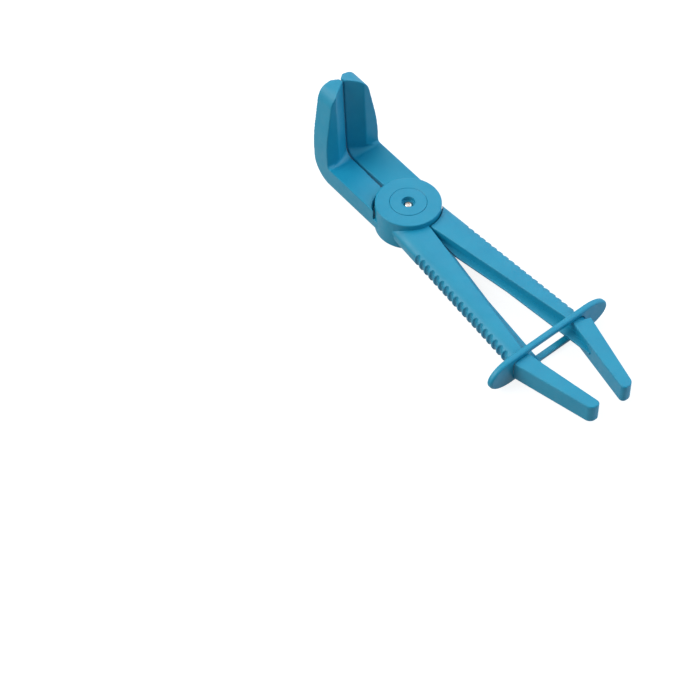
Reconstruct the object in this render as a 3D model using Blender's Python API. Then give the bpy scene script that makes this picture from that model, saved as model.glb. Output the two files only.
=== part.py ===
"""Angled hose clamp: two crossed plastic levers on a bushed pivot, kept shut by a sliding ring.

The pivot axis is Z, the jaws point to +Y and bend upwards, and the handles run to -Y.
The origin is on the pivot axis, in the plane that the hub rests on.
All sizes are in millimetres and are turned into metres where a mesh is written.
"""
import math

import bmesh
import bpy

MM = 0.001

# Hub and levers
HUB_RADIUS = 18.0
HUB_HEIGHT = 18.0
HUB_RIM_CHAMFER = 0.7
LEVER_GAP = 0.3
ARM_INSET = 3.25
ARM_RELIEF = 1.2
ARM_RELIEF_AXIAL = 0.35

# Jaws: a base arm from the hub, a bend, and an upright that narrows towards its top
JAW_INSET = 0.4
JAW_REACH = 30.6
JAW_BEND_RADIUS = 2.0
JAW_LEAN_DEG = 3.8
JAW_THICKNESS = 12.0
JAW_GAP = 0.8
JAW_HEIGHT = 49.0
JAW_BEVEL_DEPTH = 5.5
JAW_BEVEL_WIDTH = 9.0
JAW_ARM_FALL = 3.1
JAW_ARM_EDGE = 0.5
JAW_ROOT_GAP = 3.4
JAW_BACK_CORNER = 3.4
JAW_STRAIGHT = 13.2
JAW_TAPER_DEG = 10.5
JAW_TOP_SLOPE_DEG = 16.7
JAW_TOP_FALL_DEG = 14.0
JAW_SHOULDER_RADIUS = 10.0

# Handles and tails
HANDLE_INSET = 1.9
HANDLE_SPLAY = 8.75
HANDLE_LENGTH = 117.4
HANDLE_ROUND_X = 3.7
HANDLE_FLAT = 0.6
HANDLE_WALL_GAP = 0.8
HANDLE_WALL_ROOT = 2.0
KNEE_WIDTH = 9.25
KNEE_SETBACK = 4.9
TAIL_CORNER_FLARE = 0.95
TAIL_CORNER_STEP = 1.8
TAIL_ROOT_WIDTH = 10.5
TAIL_LENGTH = 47.8
TAIL_CONVERGE = 8.2
TAIL_TIP_WIDTH = 6.9
TAIL_TIP_RADIUS = 3.0
TAIL_EDGE = 0.8

# Grip notches, as many as fit between the hub and the knee
NOTCH_PITCH = 4.37
NOTCH_START = 12.8
NOTCH_DEPTH = 1.5

# Stiffening web between each handle wall and its tail
WEB_THICKNESS = 1.2
WEB_START = 23.0
WEB_MID_SETBACK = 42.3
WEB_MID_DEPTH = 3.5
WEB_END = 16.6
WEB_END_DEPTH = 0.5

# Pivot: flanged cap from above, flanged boss from below, screw and nut
SLEEVE_RADIUS = 7.0
FLANGE_WIDTH = 3.0
FLANGE_THICKNESS = 3.0
PIVOT_CLEARANCE = 0.3
SCREW_HEAD_RADIUS = 2.25
SCREW_HEAD_HEIGHT = 2.0
SCREW_HEAD_DEPTH = 2.1
SCREW_RADIUS = 1.5
SOCKET_ACROSS_FLATS = 2.0
SOCKET_DEPTH = 0.9
ACCESS_MARGIN = 1.15
ACCESS_DEPTH = 2.4
NUT_ACROSS_FLATS = 5.5
NUT_HEIGHT = 2.4
BOSS_FLOOR = 3.3

# Locking ring: as tall as the hub, so that the tool lies level
RING_SETBACK = 1.9
RING_SKEW_DEG = 3.6
RING_THICKNESS = 3.6
RING_CLEARANCE = 0.4
RING_SLACK = 1.6
RING_EAR = 15.2
RING_EAR_TAPER = 15.0
RING_SLOT_CORNER = 3.0

# Mesh resolution
HUB_STEPS = 64
SMALL_STEPS = 24
ARC_STEPS = 4
BEND_STEPS = 6
NOTCH_STEPS = 4
EAR_STEPS = 10
SMOOTH_ANGLE_DEG = 30.0
MERGE_DISTANCE = 0.001

# Places that follow from the sizes above
MID_Z = HUB_HEIGHT / 2
ARM_THICKNESS = HUB_HEIGHT - 2 * ARM_INSET
ARM_TOP_Z = HUB_HEIGHT - ARM_INSET
RELIEF_RADIUS = HUB_RADIUS + ARM_RELIEF
JAW_OUTER_X = HUB_RADIUS - JAW_INSET
JAW_FOOT_Y = HUB_RADIUS + JAW_REACH
JAW_NOSE_X = JAW_GAP / 2
JAW_RIDGE_X = JAW_NOSE_X + JAW_BEVEL_WIDTH
JAW_NOSE_TOP_Z = ARM_TOP_Z + JAW_HEIGHT
JAW_ARM_RIDGE_X = JAW_OUTER_X - JAW_ARM_EDGE
JAW_TAPER_START_Z = ARM_TOP_Z + JAW_BEND_RADIUS + JAW_STRAIGHT
HANDLE_ROOT_X = HUB_RADIUS - HANDLE_INSET
HANDLE_END_X = HANDLE_ROOT_X + HANDLE_SPLAY
WALL_ROOT_X = HANDLE_WALL_GAP / 2
WALL_ROOT_Y = HUB_RADIUS + HANDLE_WALL_ROOT
KNEE_X = HANDLE_END_X - KNEE_WIDTH
KNEE_Y = HANDLE_LENGTH - KNEE_SETBACK
TAIL_CORNER_X = HANDLE_END_X + TAIL_CORNER_FLARE
TAIL_CORNER_Y = HANDLE_LENGTH + TAIL_CORNER_STEP
TAIL_BACK_X = TAIL_CORNER_X - TAIL_ROOT_WIDTH
TAIL_TIP_Y = HANDLE_LENGTH + TAIL_LENGTH
TAIL_TIP_INNER_X = TAIL_BACK_X - TAIL_CONVERGE
TAIL_TIP_OUTER_X = TAIL_TIP_INNER_X + TAIL_TIP_WIDTH
NOTCH_FIRST_Y = HUB_RADIUS + NOTCH_START
NOTCH_COUNT = int((KNEE_Y - NOTCH_FIRST_Y) / NOTCH_PITCH + 0.5)
WEB_START_Y = HUB_RADIUS + WEB_START
WEB_MID_Y = HANDLE_LENGTH - WEB_MID_SETBACK
WEB_END_Y = HANDLE_LENGTH + WEB_END
FLANGE_RADIUS = SLEEVE_RADIUS + FLANGE_WIDTH
HEAD_WELL_RADIUS = SCREW_HEAD_RADIUS + PIVOT_CLEARANCE
ACCESS_RADIUS = HEAD_WELL_RADIUS + ACCESS_MARGIN
SCREW_HOLE_RADIUS = SCREW_RADIUS + PIVOT_CLEARANCE
SCREW_TOP_Z = HUB_HEIGHT - SCREW_HEAD_DEPTH
SCREW_SHOULDER_Z = SCREW_TOP_Z - SCREW_HEAD_HEIGHT
SCREW_TIP_Z = BOSS_FLOOR + PIVOT_CLEARANCE
NUT_TOP_Z = MID_Z - LEVER_GAP / 2 - PIVOT_CLEARANCE
NUT_BOTTOM_Z = NUT_TOP_Z - NUT_HEIGHT
RING_Y = HANDLE_LENGTH - RING_SETBACK

NYLON_BLUE = (0.052, 0.332, 0.527, 1.0)
STEEL = (0.62, 0.60, 0.58, 1.0)
NYLON_ROUGHNESS = 0.45
STEEL_ROUGHNESS = 0.3


def clear_scene():
    for old in list(bpy.data.objects):
        bpy.data.objects.remove(old, do_unlink=True)


def make_material(name, colour, roughness, metallic):
    material = bpy.data.materials.new(name)
    material.use_nodes = True
    shader = material.node_tree.nodes["Principled BSDF"]
    shader.inputs["Base Color"].default_value = colour
    shader.inputs["Roughness"].default_value = roughness
    shader.inputs["Metallic"].default_value = metallic
    return material


def nylon(name):
    return make_material(name, NYLON_BLUE, NYLON_ROUGHNESS, 0.0)


def steel(name):
    return make_material(name, STEEL, STEEL_ROUGHNESS, 1.0)


def mesh_object(name, bm):
    """Turn a bmesh in millimetres into an object in metres with its faces pointing out."""
    bmesh.ops.recalc_face_normals(bm, faces=bm.faces)
    bmesh.ops.scale(bm, vec=(MM, MM, MM), verts=bm.verts)
    mesh = bpy.data.meshes.new(name)
    bm.to_mesh(mesh)
    bm.free()
    obj = bpy.data.objects.new(name, mesh)
    bpy.context.collection.objects.link(obj)
    return obj


def loft(name, sections):
    """Closed skin through sections that all have the same number of points."""
    bm = bmesh.new()
    loops = [[bm.verts.new(point) for point in section] for section in sections]
    count = len(sections[0])
    for near, far in zip(loops, loops[1:]):
        for i in range(count):
            j = (i + 1) % count
            bm.faces.new((near[i], near[j], far[j], far[i]))
    bm.faces.new(loops[0])
    bm.faces.new(loops[-1])
    return mesh_object(name, bm)


def prism(name, outline, low, high, place):
    """Outline of point pairs, extruded from low to high; place maps (a, b, depth) to a point."""
    return loft(name, [[place(a, b, depth) for a, b in outline] for depth in (low, high)])


def turned(name, profile, steps):
    """Solid of revolution about the pivot axis from a profile of (radius, z) points.

    A profile that starts and ends on the axis is left open there; any other is closed.
    """
    bm = bmesh.new()
    points = [bm.verts.new((radius, 0.0, z)) for radius, z in profile]
    edges = [bm.edges.new(pair) for pair in zip(points, points[1:])]
    if profile[0][0] > 0.0:
        edges.append(bm.edges.new((points[-1], points[0])))
    bmesh.ops.spin(bm, geom=points + edges, cent=(0, 0, 0), axis=(0, 0, 1), angle=2 * math.pi,
                   steps=steps, use_merge=True)
    bmesh.ops.remove_doubles(bm, verts=bm.verts, dist=MERGE_DISTANCE)
    return mesh_object(name, bm)


def combine(base, other, operation):
    """Join or cut base with other, keep the result on base and remove other."""
    modifier = base.modifiers.new(operation.lower(), "BOOLEAN")
    modifier.operation = operation
    modifier.object = other
    bpy.context.view_layer.update()
    evaluated = base.evaluated_get(bpy.context.evaluated_depsgraph_get())
    result = bpy.data.meshes.new_from_object(evaluated)
    base.modifiers.clear()
    base.data = result
    bpy.data.objects.remove(other, do_unlink=True)


def finish(obj, material):
    obj.data.materials.clear()
    obj.data.materials.append(material)
    obj.data.shade_smooth()
    obj.data.set_sharp_from_angle(angle=math.radians(SMOOTH_ANGLE_DEG))
    return obj


# Jaw
def jaw_section(nose_x, ridge_x, depth, near, far):
    """Points (x, radial) of a jaw, sloped by a depth from its near face down to the clamping face."""
    return [(JAW_OUTER_X, near), (ridge_x, near), (nose_x, near + depth),
            (nose_x, far - JAW_BACK_CORNER), (nose_x + JAW_BACK_CORNER, far), (JAW_OUTER_X, far)]


def jaw_shoulder():
    """Points (x, z) of the arc that rounds the tapered outer side over into the sloping top."""
    side_angle, slope = math.radians(JAW_TAPER_DEG), math.radians(JAW_TOP_SLOPE_DEG)
    sweep = math.pi / 2 - slope - side_angle
    climb = math.tan(slope) * math.tan(side_angle)
    level_z = JAW_NOSE_TOP_Z - (JAW_OUTER_X - JAW_NOSE_X) * math.tan(slope)
    corner_z = (level_z - JAW_TAPER_START_Z * climb) / (1 - climb)
    corner_x = JAW_OUTER_X - (corner_z - JAW_TAPER_START_Z) * math.tan(side_angle)
    reach = JAW_SHOULDER_RADIUS * math.tan(sweep / 2)
    centre_x = corner_x + reach * math.sin(side_angle) - JAW_SHOULDER_RADIUS * math.cos(side_angle)
    centre_z = corner_z - reach * math.cos(side_angle) - JAW_SHOULDER_RADIUS * math.sin(side_angle)
    points = []
    for step in range(ARC_STEPS + 1):
        angle = side_angle + sweep * step / ARC_STEPS
        points.append((centre_x + JAW_SHOULDER_RADIUS * math.cos(angle),
                       centre_z + JAW_SHOULDER_RADIUS * math.sin(angle)))
    return points


def jaw_envelope(side):
    """Solid that the jaw is trimmed to: tapered outer side, and a top that falls towards the back."""
    spare = JAW_BEND_RADIUS
    foot = (JAW_OUTER_X + spare, JAW_TAPER_START_Z - spare / math.tan(math.radians(JAW_TAPER_DEG)))
    nose_z = JAW_NOSE_TOP_Z + (JAW_NOSE_X + spare) * math.tan(math.radians(JAW_TOP_SLOPE_DEG))
    nose_y = JAW_FOOT_Y + JAW_BEVEL_DEPTH + JAW_HEIGHT * math.tan(math.radians(JAW_LEAN_DEG))
    sections = []

    def add(y, behind):
        fall = behind * math.tan(math.radians(JAW_TOP_FALL_DEG))
        top = [(x, z - fall * max(0.0, 1 - x / JAW_RIDGE_X)) for x, z in jaw_shoulder() + [(-spare, nose_z)]]
        outline = [(-spare, -spare), (foot[0], -spare), foot] + top
        sections.append([(side * x, y, z) for x, z in outline])

    add(-spare, -JAW_BEVEL_DEPTH)
    for step in range(BEND_STEPS + 1):
        behind = JAW_THICKNESS * step / BEND_STEPS - JAW_BEVEL_DEPTH
        add(nose_y + behind, behind)
    return loft("envelope", sections)


def make_jaw(side):
    """Base arm from the pivot, bend, and upright jaw, on the +X side for side = 1."""
    centre_y = JAW_FOOT_Y - JAW_BEND_RADIUS
    centre_z = ARM_TOP_Z + JAW_BEND_RADIUS
    near = JAW_BEND_RADIUS
    full_turn = math.pi / 2 - math.radians(JAW_LEAN_DEG)
    sections = []

    def add(nose_x, share, thickness, along, rise):
        """Place a section turned by a share of the bend, moved along Y and raised along the upright."""
        ridge_x = JAW_ARM_RIDGE_X + (JAW_RIDGE_X - JAW_ARM_RIDGE_X) * share
        depth = JAW_ARM_FALL + (JAW_BEVEL_DEPTH - JAW_ARM_FALL) * share
        angle = full_turn * share
        placed = []
        for x, radial in jaw_section(nose_x, ridge_x, depth, near, near + thickness):
            y = centre_y + along + radial * math.sin(angle) + rise * math.cos(angle)
            z = centre_z - radial * math.cos(angle) + rise * math.sin(angle)
            placed.append((side * x, y, z))
        sections.append(placed)

    add(JAW_ROOT_GAP / 2, 0.0, ARM_THICKNESS, -centre_y, 0.0)
    for step in range(BEND_STEPS + 1):
        share = step / BEND_STEPS
        thickness = ARM_THICKNESS + (JAW_THICKNESS - ARM_THICKNESS) * share
        add(JAW_NOSE_X, share, thickness, 0.0, 0.0)
    add(JAW_NOSE_X, 1.0, JAW_THICKNESS, 0.0, JAW_HEIGHT + JAW_THICKNESS)
    jaw = loft("jaw", sections)
    combine(jaw, jaw_envelope(side), "INTERSECT")
    return jaw


# Handle
def handle_outer(distance):
    """Half width of the grip's outermost line at a distance behind the pivot."""
    return HANDLE_ROOT_X + HANDLE_SPLAY * distance / HANDLE_LENGTH


def handle_wall(distance):
    """X of the upright inner wall at a distance behind the pivot."""
    run = max(0.0, distance - WALL_ROOT_Y) / (KNEE_Y - WALL_ROOT_Y)
    return WALL_ROOT_X + (KNEE_X - WALL_ROOT_X) * run


def tail_share(distance):
    """Share of the way from the tail's corner to its tip."""
    return (distance - TAIL_CORNER_Y) / (TAIL_TIP_Y - TAIL_CORNER_Y)


def tail_outer(distance):
    return TAIL_CORNER_X + (TAIL_TIP_OUTER_X - TAIL_CORNER_X) * tail_share(distance)


def tail_inner(distance):
    return TAIL_BACK_X + (TAIL_TIP_INNER_X - TAIL_BACK_X) * tail_share(distance)


def bar_section(distance, inner_x, outer_x, round_x, round_z, cut):
    """Cross-section of a handle: upright inner wall, and an outer side rounded top and bottom.

    A notch of depth cut is sunk square to the rounded side and runs out at the top and bottom.
    """
    upper = []
    for step in range(ARC_STEPS + 1):
        angle = math.pi / 2 * (1 - step / ARC_STEPS)
        across, up = math.cos(angle), math.sin(angle)
        sink = cut * across / math.hypot(across / round_x, up / round_z)
        x = outer_x - round_x * (1 - across) - sink * across / round_x
        z = ARM_THICKNESS / 2 - round_z * (1 - up) - sink * up / round_z
        upper.append((x, z))
    lower = [(x, -z) for x, z in reversed(upper)]
    outline = [(inner_x, ARM_THICKNESS / 2)] + upper + lower + [(inner_x, -ARM_THICKNESS / 2)]
    return [(x, -distance, MID_Z + z) for x, z in outline]


def make_handle(side):
    """Grip with notches, and tail, on the +X side for side = 1."""
    grip_round_z = (ARM_THICKNESS - HANDLE_FLAT) / 2
    notches_start = NOTCH_FIRST_Y - NOTCH_PITCH / 2
    sections = []

    def grip(distance, cut):
        sections.append(bar_section(distance, handle_wall(distance), handle_outer(distance),
                                    HANDLE_ROUND_X, grip_round_z, cut))

    def tail(distance, inset):
        sections.append(bar_section(distance, tail_inner(distance) + inset, tail_outer(distance) - inset,
                                    TAIL_EDGE, TAIL_EDGE, 0.0))

    grip(0.0, 0.0)
    grip(WALL_ROOT_Y, 0.0)
    for step in range(NOTCH_COUNT * NOTCH_STEPS + 1):
        turn = step / NOTCH_STEPS
        bump = abs(math.cos(math.pi * turn))
        grip(notches_start + turn * NOTCH_PITCH, NOTCH_DEPTH * (1 - bump))
    grip(KNEE_Y, 0.0)
    sections.append(bar_section(HANDLE_LENGTH, KNEE_X, HANDLE_END_X, HANDLE_ROUND_X, grip_round_z, 0.0))
    tail(TAIL_CORNER_Y, 0.0)
    for step in range(ARC_STEPS + 1):
        angle = math.pi / 2 * step / ARC_STEPS
        tail(TAIL_TIP_Y - TAIL_TIP_RADIUS * (1 - math.sin(angle)), TAIL_TIP_RADIUS * (1 - math.cos(angle)))
    return loft("handle", [[(side * x, y, z) for x, y, z in section] for section in sections])


def make_web(side):
    """Thin web that fills the hollow between the handle's wall and its tail, at half height."""
    bury = 2 * WEB_THICKNESS
    outline = [(WALL_ROOT_X, WALL_ROOT_Y), (WALL_ROOT_X, WEB_START_Y),
               (handle_wall(WEB_MID_Y) - WEB_MID_DEPTH, WEB_MID_Y),
               (tail_inner(WEB_END_Y) - WEB_END_DEPTH, WEB_END_Y), (tail_inner(WEB_END_Y) + bury, WEB_END_Y),
               (KNEE_X + bury, KNEE_Y), (WALL_ROOT_X + bury, WALL_ROOT_Y)]
    low, high = MID_Z - WEB_THICKNESS / 2, MID_Z + WEB_THICKNESS / 2
    return prism("web", outline, low, high, lambda x, distance, z: (side * x, -distance, z))


# Levers
def make_lever(name, jaw_side_sign, is_upper, material):
    """One lever: jaw on one side, half of the hub, and the handle on the other side."""
    half_gap = LEVER_GAP / 2
    low, high = (MID_Z + half_gap, HUB_HEIGHT) if is_upper else (0.0, MID_Z - half_gap)
    lever = make_jaw(jaw_side_sign)
    lever.name = lever.data.name = name
    combine(lever, make_handle(-jaw_side_sign), "UNION")
    combine(lever, make_web(-jaw_side_sign), "UNION")

    relief_low = -HUB_HEIGHT if is_upper else MID_Z - ARM_RELIEF_AXIAL
    relief_high = MID_Z + ARM_RELIEF_AXIAL if is_upper else 2 * HUB_HEIGHT
    relief = turned("relief", [(0.0, relief_high), (RELIEF_RADIUS, relief_high),
                               (RELIEF_RADIUS, relief_low), (0.0, relief_low)], HUB_STEPS)
    combine(lever, relief, "DIFFERENCE")

    if is_upper:
        rim = [(HUB_RADIUS - HUB_RIM_CHAMFER, high), (HUB_RADIUS, high - HUB_RIM_CHAMFER), (HUB_RADIUS, low)]
    else:
        rim = [(HUB_RADIUS, high), (HUB_RADIUS, low + HUB_RIM_CHAMFER), (HUB_RADIUS - HUB_RIM_CHAMFER, low)]
    disc = turned("disc", [(0.0, high)] + rim + [(0.0, low)], HUB_STEPS)
    combine(lever, disc, "UNION")

    bore = SLEEVE_RADIUS + PIVOT_CLEARANCE
    sink = FLANGE_RADIUS + PIVOT_CLEARANCE
    seat = FLANGE_THICKNESS + PIVOT_CLEARANCE
    floor = HUB_HEIGHT - seat if is_upper else seat
    outside = 2 * HUB_HEIGHT if is_upper else -HUB_HEIGHT
    inside = -HUB_HEIGHT if is_upper else 2 * HUB_HEIGHT
    cutter = turned("bore", [(0.0, outside), (sink, outside), (sink, floor), (bore, floor),
                             (bore, inside), (0.0, inside)], HUB_STEPS)
    combine(lever, cutter, "DIFFERENCE")
    return finish(lever, material)


# Pivot
def make_pivot_cap(material):
    """Flanged sleeve seated in the upper lever, with the stepped well that the screw sits in."""
    under_flange = HUB_HEIGHT - FLANGE_THICKNESS
    end = MID_Z + LEVER_GAP / 2
    access_floor = HUB_HEIGHT - ACCESS_DEPTH
    head_floor = SCREW_SHOULDER_Z - PIVOT_CLEARANCE
    profile = [(ACCESS_RADIUS, HUB_HEIGHT), (FLANGE_RADIUS, HUB_HEIGHT), (FLANGE_RADIUS, under_flange),
               (SLEEVE_RADIUS, under_flange), (SLEEVE_RADIUS, end), (SCREW_HOLE_RADIUS, end),
               (SCREW_HOLE_RADIUS, head_floor), (HEAD_WELL_RADIUS, head_floor),
               (HEAD_WELL_RADIUS, access_floor), (ACCESS_RADIUS, access_floor)]
    return finish(turned("pivot_cap", profile, HUB_STEPS), material)


def upright_prism(name, outline, low, high):
    return prism(name, outline, low, high, lambda x, y, z: (x, y, z))


def hexagon(across_flats):
    radius = across_flats / 2 / math.cos(math.pi / 6)
    corners = [math.pi / 3 * i for i in range(6)]
    return [(radius * math.cos(angle), radius * math.sin(angle)) for angle in corners]


def screw_drill(low):
    """Cutter for the screw's clearance hole, from above the hub down to a height."""
    profile = [(0.0, HUB_HEIGHT), (SCREW_HOLE_RADIUS, HUB_HEIGHT), (SCREW_HOLE_RADIUS, low), (0.0, low)]
    return turned("drill", profile, SMALL_STEPS)


def make_pivot_boss(material):
    """Flanged sleeve seated in the lower lever, blind below, with a pocket for the nut."""
    end = MID_Z - LEVER_GAP / 2
    profile = [(0.0, end), (SLEEVE_RADIUS, end), (SLEEVE_RADIUS, FLANGE_THICKNESS),
               (FLANGE_RADIUS, FLANGE_THICKNESS), (FLANGE_RADIUS, 0.0), (0.0, 0.0)]
    boss = turned("pivot_boss", profile, HUB_STEPS)
    pocket_outline = hexagon(NUT_ACROSS_FLATS + 2 * PIVOT_CLEARANCE)
    pocket = upright_prism("pocket", pocket_outline, NUT_BOTTOM_Z - PIVOT_CLEARANCE, HUB_HEIGHT)
    combine(boss, pocket, "DIFFERENCE")
    combine(boss, screw_drill(BOSS_FLOOR), "DIFFERENCE")
    return finish(boss, material)


def make_pivot_screw(material):
    """Screw with a domed head and a socket for the driver."""
    dome_low = SCREW_SHOULDER_Z + SCREW_HEAD_HEIGHT / 2
    profile = [(0.0, SCREW_TOP_Z)]
    for step in range(1, ARC_STEPS + 1):
        angle = math.pi / 2 * (1 - step / ARC_STEPS)
        profile.append((SCREW_HEAD_RADIUS * math.cos(angle),
                        dome_low + (SCREW_TOP_Z - dome_low) * math.sin(angle)))
    profile += [(SCREW_HEAD_RADIUS, SCREW_SHOULDER_Z), (SCREW_RADIUS, SCREW_SHOULDER_Z),
                (SCREW_RADIUS, SCREW_TIP_Z), (0.0, SCREW_TIP_Z)]
    screw = turned("pivot_screw", profile, SMALL_STEPS)
    socket = upright_prism("socket", hexagon(SOCKET_ACROSS_FLATS), SCREW_TOP_Z - SOCKET_DEPTH, HUB_HEIGHT)
    combine(screw, socket, "DIFFERENCE")
    return finish(screw, material)


def make_pivot_nut(material):
    nut = upright_prism("pivot_nut", hexagon(NUT_ACROSS_FLATS), NUT_BOTTOM_Z, NUT_TOP_Z)
    combine(nut, screw_drill(0.0), "DIFFERENCE")
    return finish(nut, material)


# Ring
def make_locking_ring(material):
    """Flat loop across both handles, with a leaf-shaped ear at each end, lying slightly askew."""
    slot_x = handle_outer(RING_Y) + RING_SLACK
    slot_z = ARM_THICKNESS / 2 + RING_CLEARANCE
    half_z = HUB_HEIGHT / 2
    straight = slot_x + RING_EAR - RING_EAR_TAPER
    right = []
    for step in range(2 * EAR_STEPS + 1):
        angle = math.pi / 2 * (1 - step / EAR_STEPS)
        right.append((straight + RING_EAR_TAPER * math.cos(angle), half_z * math.sin(angle)))
    outline = right + [(-x, -z) for x, z in right]
    slot = []
    for quarter, (sign_x, sign_z) in enumerate(((1, 1), (-1, 1), (-1, -1), (1, -1))):
        for step in range(ARC_STEPS + 1):
            angle = math.pi / 2 * (quarter + step / ARC_STEPS)
            slot.append((sign_x * (slot_x - RING_SLOT_CORNER) + RING_SLOT_CORNER * math.cos(angle),
                         sign_z * (slot_z - RING_SLOT_CORNER) + RING_SLOT_CORNER * math.sin(angle)))

    def upright(x, z, depth):
        return (x, depth, z)

    ring = prism("locking_ring", outline, -RING_THICKNESS / 2, RING_THICKNESS / 2, upright)
    combine(ring, prism("slot", slot, -RING_THICKNESS, RING_THICKNESS, upright), "DIFFERENCE")
    finish(ring, material)
    ring.location = (0.0, -RING_Y * MM, MID_Z * MM)
    ring.rotation_euler = (0.0, 0.0, math.radians(RING_SKEW_DEG))
    return ring


def main():
    clear_scene()
    pieces = [
        make_lever("upper_lever", 1, True, nylon("upper_lever_nylon")),
        make_lever("lower_lever", -1, False, nylon("lower_lever_nylon")),
        make_pivot_cap(nylon("pivot_cap_nylon")),
        make_pivot_boss(nylon("pivot_boss_nylon")),
        make_pivot_screw(steel("pivot_screw_steel")),
        make_pivot_nut(steel("pivot_nut_steel")),
        make_locking_ring(nylon("locking_ring_nylon")),
    ]
    pivot_axis = bpy.data.objects.new("pivot_axis", None)
    bpy.context.collection.objects.link(pivot_axis)
    for piece in pieces:
        piece.parent = pivot_axis


main()
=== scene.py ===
"""Looks of the angled hose clamp: moulded levers, pivot, screw and sliding ring, with light and camera.

Sizes are in millimetres in the part's own frame and are turned into metres where a mesh is written.
"""
import math

import bmesh
import bpy
from mathutils import Matrix, Vector


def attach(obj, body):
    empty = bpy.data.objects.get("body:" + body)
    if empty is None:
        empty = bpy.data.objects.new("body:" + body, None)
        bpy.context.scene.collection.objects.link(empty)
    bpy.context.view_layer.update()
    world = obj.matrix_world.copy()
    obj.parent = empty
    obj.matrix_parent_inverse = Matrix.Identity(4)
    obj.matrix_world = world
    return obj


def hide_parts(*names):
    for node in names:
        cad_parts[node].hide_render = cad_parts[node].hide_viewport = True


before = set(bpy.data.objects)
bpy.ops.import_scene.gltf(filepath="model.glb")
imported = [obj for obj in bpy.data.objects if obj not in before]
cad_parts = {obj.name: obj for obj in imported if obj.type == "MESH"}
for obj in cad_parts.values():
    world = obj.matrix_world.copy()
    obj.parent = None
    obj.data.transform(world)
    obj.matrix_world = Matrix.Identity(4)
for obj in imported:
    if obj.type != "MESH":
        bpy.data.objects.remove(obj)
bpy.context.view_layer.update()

MM = 0.001

# Hub and levers
HUB_RADIUS = 18.0
HUB_HEIGHT = 18.0
HUB_RIM_ROUND = 0.7
LEVER_GAP = 0.3
SEAM = 0.1
ARM_INSET = 3.25
ARM_RELIEF = 1.4
HANDLE_RELIEF = 0.8
ARM_RELIEF_AXIAL = 0.35

# Jaws: a base arm from the hub, a bend, and an upright that narrows towards its top
JAW_INSET = 0.4
JAW_REACH = 30.6
JAW_BEND_RADIUS = 2.0
JAW_LEAN_DEG = 3.8
JAW_THICKNESS = 12.0
JAW_GAP = 0.8
JAW_HEIGHT = 49.0
JAW_BEVEL_DEPTH = 5.5
JAW_BEVEL_WIDTH = 9.0
JAW_ARM_FALL = 3.1
JAW_ARM_EDGE = 0.5
JAW_ROOT_GAP = 3.4
JAW_BACK_CORNER = 3.4
JAW_STRAIGHT = 13.2
JAW_TAPER_DEG = 10.5
JAW_TAPER_BLEND = 8.0
JAW_TOP_SLOPE_DEG = 16.7
JAW_TOP_FALL_DEG = 14.0
JAW_SHOULDER_RADIUS = 10.0

# Handles and tails
HANDLE_INSET = 1.9
HANDLE_SPLAY = 8.75
HANDLE_LENGTH = 117.4
HANDLE_ROUND_X = 3.7
HANDLE_CROWN_X = 8.0
HANDLE_CROWN_Z = 4.3
HANDLE_FLAT = 0.6
HANDLE_EDGE = 0.6
HANDLE_WALL_GAP = 0.8
HANDLE_WALL_ROOT = 2.0
KNEE_WIDTH = 9.25
KNEE_SETBACK = 4.9
TAIL_CORNER_FLARE = 0.95
TAIL_CORNER_STEP = 1.8
TAIL_ROOT_WIDTH = 10.5
TAIL_LENGTH = 47.8
TAIL_CONVERGE = 8.2
TAIL_TIP_WIDTH = 6.9
TAIL_TIP_RADIUS = 3.0
TAIL_EDGE = 0.8

# Grip notches
NOTCH_PITCH = 4.37
NOTCH_START = 12.8
NOTCH_DEPTH = 1.3
NOTCH_TOP_DEPTH = 2.4
NOTCH_WIDTH = 3.0

# Stiffening web between each handle wall and its tail
WEB_THICKNESS = 1.2
WEB_START = 23.0
WEB_MID_SETBACK = 42.3
WEB_MID_DEPTH = 3.5
WEB_END = 16.6
WEB_END_DEPTH = 0.5
WEB_EDGE = 0.3

# Pivot: flanged cap from above, flanged boss from below, and screw
SLEEVE_RADIUS = 7.0
FLANGE_WIDTH = 3.0
FLANGE_THICKNESS = 3.0
PIVOT_CLEARANCE = 0.3
PIVOT_EDGE = 0.25
PIVOT_SEAM = 0.12
SCREW_HEAD_RADIUS = 2.25
SCREW_HEAD_HEIGHT = 2.0
SCREW_HEAD_DEPTH = 1.6
SCREW_RADIUS = 1.5
SOCKET_ACROSS_FLATS = 2.0
SOCKET_DEPTH = 0.9
ACCESS_MARGIN = 1.15
ACCESS_DEPTH = 2.4
NUT_ACROSS_FLATS = 5.5
NUT_HEIGHT = 2.4
BOSS_FLOOR = 3.3

# Locking ring
RING_SETBACK = 1.9
RING_SKEW_DEG = 3.6
RING_THICKNESS = 3.6
RING_CLEARANCE = 0.4
RING_SLACK = 1.1
RING_RIGHT_SLACK = 0.25
RING_EAR = 15.7
RING_EAR_TAPER = 15.0
RING_SLOT_LEFT_CORNER = 1.0
RING_SLOT_RIGHT_CORNER = 5.0
RING_EDGE = 1.35
RING_SLOT_EASE = 0.25

# Mesh resolution
HUB_STEPS = 160
SMALL_STEPS = 64
ARC_STEPS = 18
EDGE_STEPS = 5
BEND_STEPS = 24
NOTCH_STEPS = 24
EAR_STEPS = 40
JAW_GRID = 0.35
JAW_RELAX = 8
RELAX_FACTOR = 0.5
SMOOTH_ANGLE_DEG = 32.0
MERGE_DISTANCE = 0.001

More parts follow.
